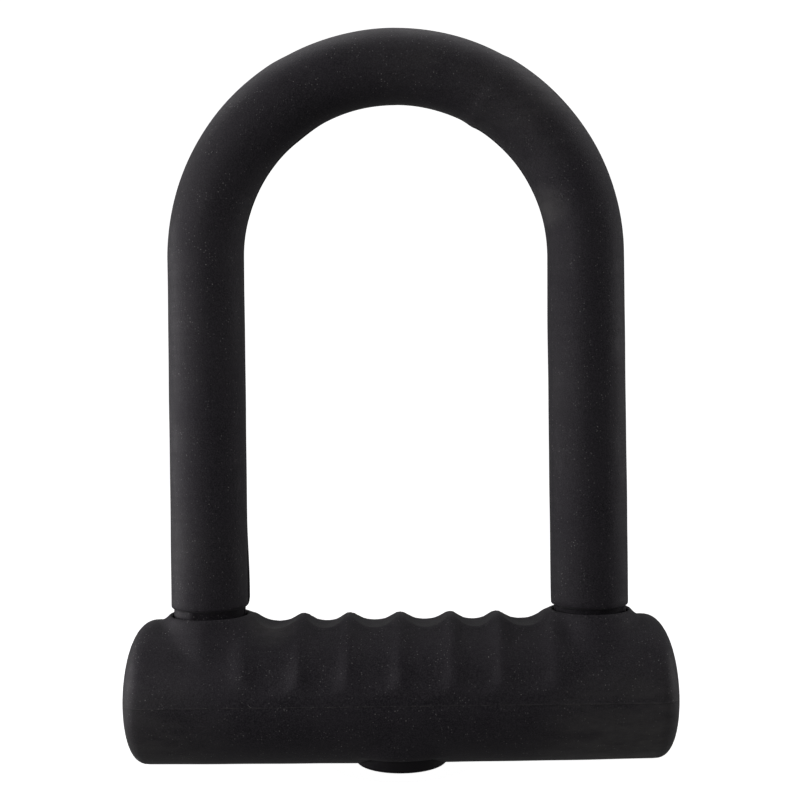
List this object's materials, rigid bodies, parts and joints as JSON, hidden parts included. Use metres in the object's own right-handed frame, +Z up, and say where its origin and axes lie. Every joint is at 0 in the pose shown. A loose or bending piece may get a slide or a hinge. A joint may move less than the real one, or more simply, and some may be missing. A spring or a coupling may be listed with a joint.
{
  "type": "bicycle u lock",
  "caption": "Mini bicycle U-lock: silicone-sleeved steel shackle that plugs into a covered crossbar with a keyed cylinder underneath and two deadbolts inside.",
  "frame": {"origin": "centre of the key boss's flat face, the lowest point, below the middle of the crossbar", "axes": "+X along the crossbar to the right, +Z up the shackle's legs, -Y the side that faces the viewer"},
  "size_m": [0.15, 0.039, 0.2004],
  "materials": {
    "black_silicone": "matte moulded silicone",
    "hardened_steel": "ground, hardened",
    "black_steel": "black electrocoat",
    "bright_steel": "machined",
    "zinc_casting": "as die cast",
    "black_nylon": "glass-filled nylon",
    "boss_plastic": "fine satin moulding",
    "seal_rubber": "matte",
    "brass": "stamped and turned"
  },
  "bodies": {
    "crossbar": {"crossbar_cover": "black_silicone", "crossbar_tube": "black_steel", "end_plug_left": "zinc_casting", "end_plug_right": "zinc_casting", "end_plug_pin_left": "bright_steel", "end_plug_pin_right": "bright_steel", "leg_guide_left": "black_nylon", "leg_guide_right": "black_nylon", "leg_seal_left": "seal_rubber", "leg_seal_right": "seal_rubber", "lock_body": "zinc_casting", "key_boss": "boss_plastic", "cylinder_barrel": "bright_steel", "cylinder_pin_left": "bright_steel", "cylinder_pin_right": "bright_steel"},
    "shackle_assembly": {"shackle": "hardened_steel", "shackle_sleeve": "black_silicone"},
    "key_plug": {"cylinder_plug": "brass", "anti_drill_disc": "hardened_steel", "detainer_disc_1": "brass", "detainer_disc_2": "brass", "detainer_disc_3": "brass", "detainer_disc_4": "brass", "detainer_disc_5": "brass", "detainer_disc_6": "brass", "disc_spacer_1": "bright_steel", "disc_spacer_2": "bright_steel", "disc_spacer_3": "bright_steel", "disc_spacer_4": "bright_steel", "disc_spacer_5": "bright_steel", "scroll_cam": "bright_steel"},
    "sidebar_bar": {"sidebar": "bright_steel"},
    "left_bolt": {"deadbolt_left": "hardened_steel", "bolt_pin_left": "bright_steel"},
    "right_bolt": {"deadbolt_right": "hardened_steel", "bolt_pin_right": "bright_steel"},
    "shutter": {"dust_shutter": "boss_plastic"}
  },
  "joints": [
    {"name": "shackle_slide", "type": "slide", "parent": "crossbar", "child": "shackle_assembly", "axis": [0, 0, 1], "range_m": [0, 0.06]},
    {"name": "key_turn", "type": "hinge", "parent": "crossbar", "child": "key_plug", "pos_m": [0, 0, 0.02], "axis": [0, 0, 1], "range_deg": [0, 90]},
    {"name": "left_bolt_slide", "type": "slide", "parent": "crossbar", "child": "left_bolt", "axis": [-1, 0, 0], "range_m": [0, 0.004]},
    {"name": "right_bolt_slide", "type": "slide", "parent": "crossbar", "child": "right_bolt", "axis": [1, 0, 0], "range_m": [0, 0.004]},
    {"name": "sidebar_slide", "type": "slide", "parent": "key_plug", "child": "sidebar_bar", "axis": [0, 1, 0], "range_m": [0, 0.0012]},
    {"name": "shutter_slide", "type": "slide", "parent": "crossbar", "child": "shutter", "axis": [1, 0, 0], "range_m": [0, 0.006]}
  ],
  "couplings": [
    {"joint": "left_bolt_slide", "follows": "key_turn", "m_per_rad": 0.0025465},
    {"joint": "right_bolt_slide", "follows": "key_turn", "m_per_rad": 0.0025465}
  ]
}
